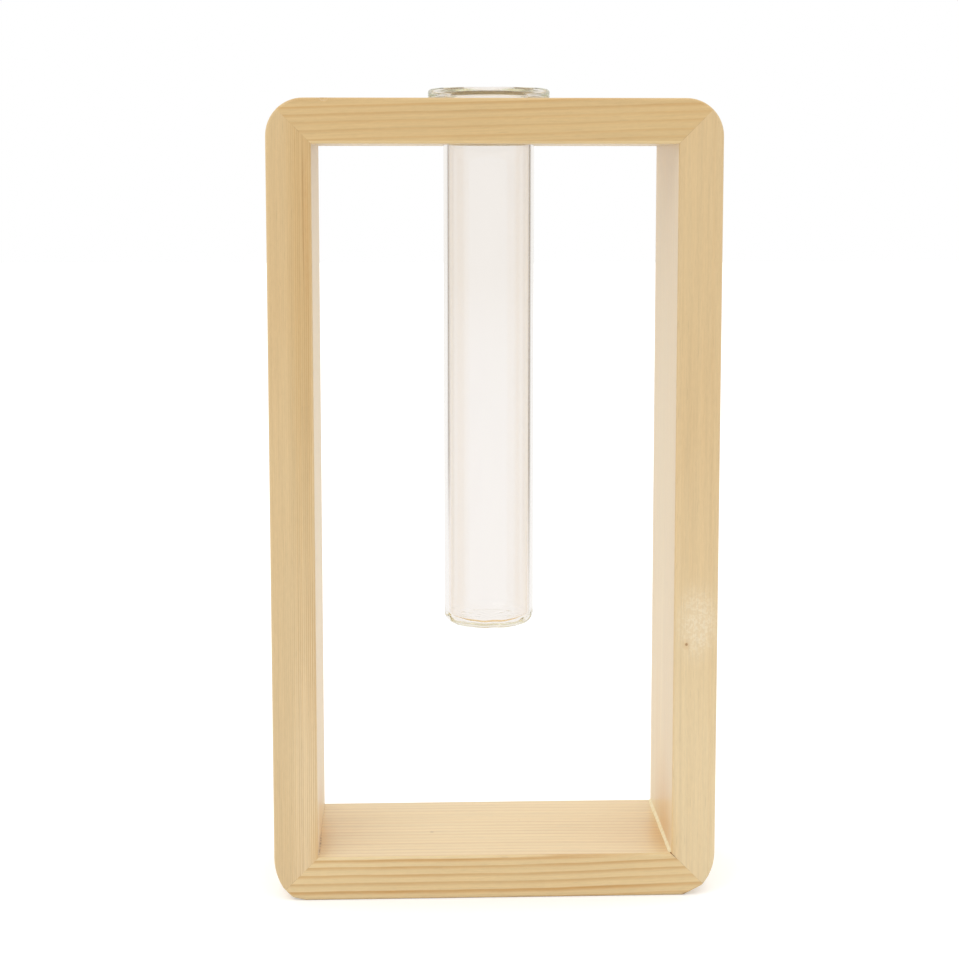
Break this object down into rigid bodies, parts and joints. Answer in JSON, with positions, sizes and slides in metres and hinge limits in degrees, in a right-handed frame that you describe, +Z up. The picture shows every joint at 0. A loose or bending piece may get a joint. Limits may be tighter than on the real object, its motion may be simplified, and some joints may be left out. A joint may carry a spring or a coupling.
{
  "type": "propagation vase",
  "caption": "Upright mitred pine frame with a lipped clear glass test tube hung through its top rail, to root cuttings or hold a stem.",
  "frame": {"origin": "middle of the frame's footprint, on the surface that it stands on", "axes": "+Z up, along the frame's height and the way the tube lifts out; +X to the right in the front view; -Y out of the front face"},
  "size_m": [0.121, 0.05, 0.2207],
  "materials": {
    "top_rail_pine": "bare pine, sanded, quiet lengthwise grain",
    "bottom_rail_pine": "bare pine, sanded, strong dark growth lines",
    "left_stile_pine": "bare pine, sanded, fine straight grain",
    "right_stile_pine": "bare pine, sanded, plain face with one pin knot",
    "brad_steel": "plain wire steel",
    "wood_filler": "matt filler, sanded flush",
    "clear_glass": "clear, smooth, fire-polished lip"
  },
  "bodies": {
    "frame": {"top_rail": "top_rail_pine", "bottom_rail": "bottom_rail_pine", "left_stile": "left_stile_pine", "right_stile": "right_stile_pine", "corner_brads": "brad_steel", "brad_filler": "wood_filler"},
    "tube": {"glass_tube": "clear_glass"}
  },
  "joints": [
    {"name": "tube_lift", "type": "slide", "parent": "frame", "child": "tube", "axis": [0, 0, 1], "range_m": [0, 0.155]}
  ]
}
